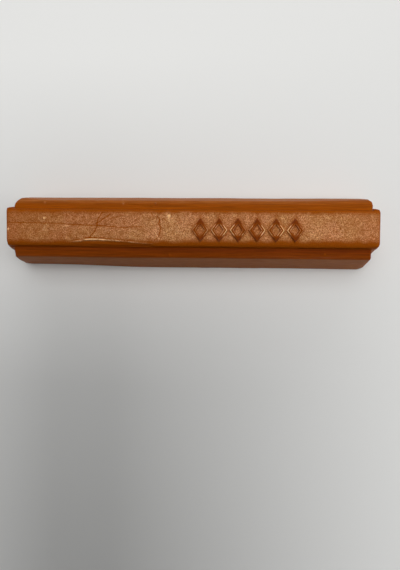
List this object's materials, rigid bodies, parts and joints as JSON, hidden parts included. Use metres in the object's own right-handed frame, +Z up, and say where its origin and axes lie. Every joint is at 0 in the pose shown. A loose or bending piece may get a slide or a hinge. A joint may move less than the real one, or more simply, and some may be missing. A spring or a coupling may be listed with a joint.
{
  "type": "furniture repair wax stick",
  "caption": "Bar of hard brown filler wax for repairing furniture: drafted cast stick with a raised top band, lower shoulders, stepped ends and a row of plain raised marks.",
  "frame": {"origin": "middle of the flat poured face that the stick lies on", "axes": "+X along the stick, the marks' end positive; +Z up, towards the raised band; +Y across the stick"},
  "size_m": [0.08, 0.0156, 0.0104],
  "materials": {
    "wax": "hard orange-brown wax, scuffed and matt on its outer faces, smooth in its recesses"
  },
  "bodies": {
    "root": {"wax_bar": "wax", "raised_marks": "wax"}
  },
  "joints": []
}
